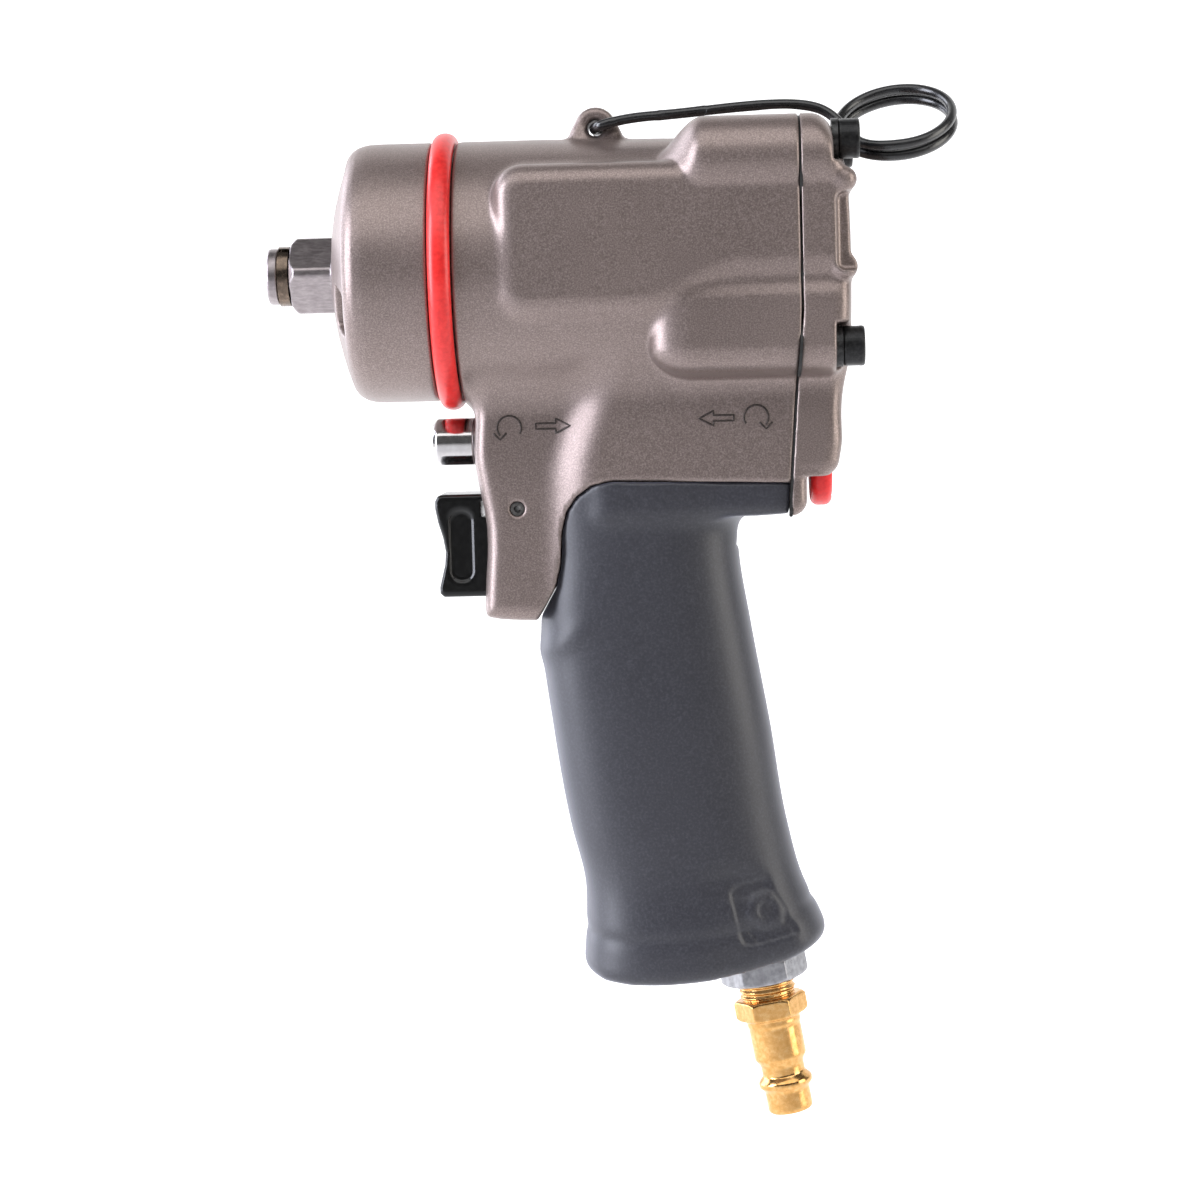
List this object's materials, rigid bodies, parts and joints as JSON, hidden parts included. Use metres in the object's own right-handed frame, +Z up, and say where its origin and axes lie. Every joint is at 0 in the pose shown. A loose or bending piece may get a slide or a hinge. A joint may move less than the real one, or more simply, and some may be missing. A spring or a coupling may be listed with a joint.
{
  "type": "air impact wrench",
  "caption": "Compact pistol-grip air impact wrench with square drive, bumper ring, rubber grip, trigger, reverse button, brass air nipple and wire hanger.",
  "frame": {"origin": "centre of the anvil's front end, on the drive axis", "axes": "-X out of the front of the tool along the drive axis, +Z up away from the handle, Y across the tool"},
  "size_m": [0.1505, 0.06, 0.2265],
  "materials": {
    "case_paint": "satin metallic",
    "red_rubber": "satin",
    "steel": "satin",
    "dark_steel": "satin",
    "chrome": "polished",
    "bronze": "satin",
    "brass": "machined",
    "zinc": "satin",
    "black_steel": "black oxide",
    "black_wire": "gloss",
    "trigger_plastic": "gloss",
    "red_plastic": "gloss",
    "grip_rubber": "matt",
    "black_rubber": "matt",
    "vane_resin": "matt",
    "felt": "matt",
    "black_plastic": "matt"
  },
  "bodies": {
    "tool": {"hammer_case": "case_paint", "anvil_bushing": "bronze", "bumper_ring": "red_rubber", "cylinder_liner": "steel", "front_end_plate": "dark_steel", "rear_end_plate": "dark_steel", "cylinder_dowel": "steel", "front_bearing_outer": "chrome", "rear_bearing_outer": "chrome", "motor_housing": "case_paint", "rear_cover": "case_paint", "cover_gasket": "black_rubber", "cover_screws": "black_steel", "lock_washers": "black_steel", "spool_stop_pin": "steel", "trigger_roll_pin": "dark_steel", "throttle_bushing": "brass", "valve_seat": "black_plastic", "throttle_spring": "steel", "grip_sleeve": "grip_rubber", "exhaust_muffler": "felt", "exhaust_deflector": "black_plastic", "inlet_bushing": "zinc", "inlet_screen": "steel", "inlet_o_ring": "black_rubber", "air_nipple": "brass"},
    "rotor_group": {"rotor": "steel", "rotor_vanes": "vane_resin", "front_bearing_inner": "chrome", "rear_bearing_inner": "chrome", "hammer_cage": "dark_steel", "hammer_pins": "steel"},
    "anvil_group": {"anvil": "steel", "socket_retaining_ring": "bronze", "retaining_o_ring": "black_rubber"},
    "front_dog": {"hammer_dog_front": "dark_steel"},
    "rear_dog": {"hammer_dog_rear": "dark_steel"},
    "front_balls": {"front_bearing_balls": "chrome"},
    "rear_balls": {"rear_bearing_balls": "chrome"},
    "trigger_group": {"trigger": "trigger_plastic", "trigger_stem": "steel", "throttle_valve": "black_rubber"},
    "reverse_group": {"reverse_spool": "steel", "spool_o_rings": "black_rubber", "reverse_button": "chrome", "reverse_paddle": "red_plastic", "paddle_screw": "steel"},
    "hanger": {"hanger_wire": "black_wire"}
  },
  "joints": [
    {"name": "rotor_spin", "type": "hinge", "parent": "tool", "child": "rotor_group", "pos_m": [0.088, 0, 0], "axis": [1, 0, 0], "continuous": true},
    {"name": "anvil_spin", "type": "hinge", "parent": "tool", "child": "anvil_group", "pos_m": [0.02, 0, 0], "axis": [1, 0, 0], "continuous": true},
    {"name": "front_ball_spin", "type": "hinge", "parent": "tool", "child": "front_balls", "pos_m": [0.0672, 0, 0], "axis": [1, 0, 0], "continuous": true},
    {"name": "rear_ball_spin", "type": "hinge", "parent": "tool", "child": "rear_balls", "pos_m": [0.1084, 0, 0], "axis": [1, 0, 0], "continuous": true},
    {"name": "front_dog_rock", "type": "hinge", "parent": "rotor_group", "child": "front_dog", "pos_m": [0.0406, 0, 0.0162], "axis": [1, 0, 0], "range_deg": [-4, 4]},
    {"name": "rear_dog_rock", "type": "hinge", "parent": "rotor_group", "child": "rear_dog", "pos_m": [0.0508, 0, -0.0162], "axis": [1, 0, 0], "range_deg": [-4, 4]},
    {"name": "trigger_pull", "type": "slide", "parent": "tool", "child": "trigger_group", "axis": [1, 0, 0], "range_m": [0, 0.0065], "stiffness_N_per_m": 1200, "springref_m": -0.004, "deforming": ["throttle_spring"]},
    {"name": "reverse_push", "type": "slide", "parent": "tool", "child": "reverse_group", "axis": [1, 0, 0], "range_m": [0, 0.009]},
    {"name": "hanger_swing", "type": "hinge", "parent": "tool", "child": "hanger", "pos_m": [0.0723, 0, 0.0299], "axis": [0, -1, 0], "range_deg": [0, 150]}
  ],
  "couplings": [
    {"joint": "anvil_spin", "follows": "rotor_spin", "ratio": 1},
    {"joint": "front_ball_spin", "follows": "rotor_spin", "ratio": 0.38125},
    {"joint": "rear_ball_spin", "follows": "rotor_spin", "ratio": 0.38125}
  ]
}
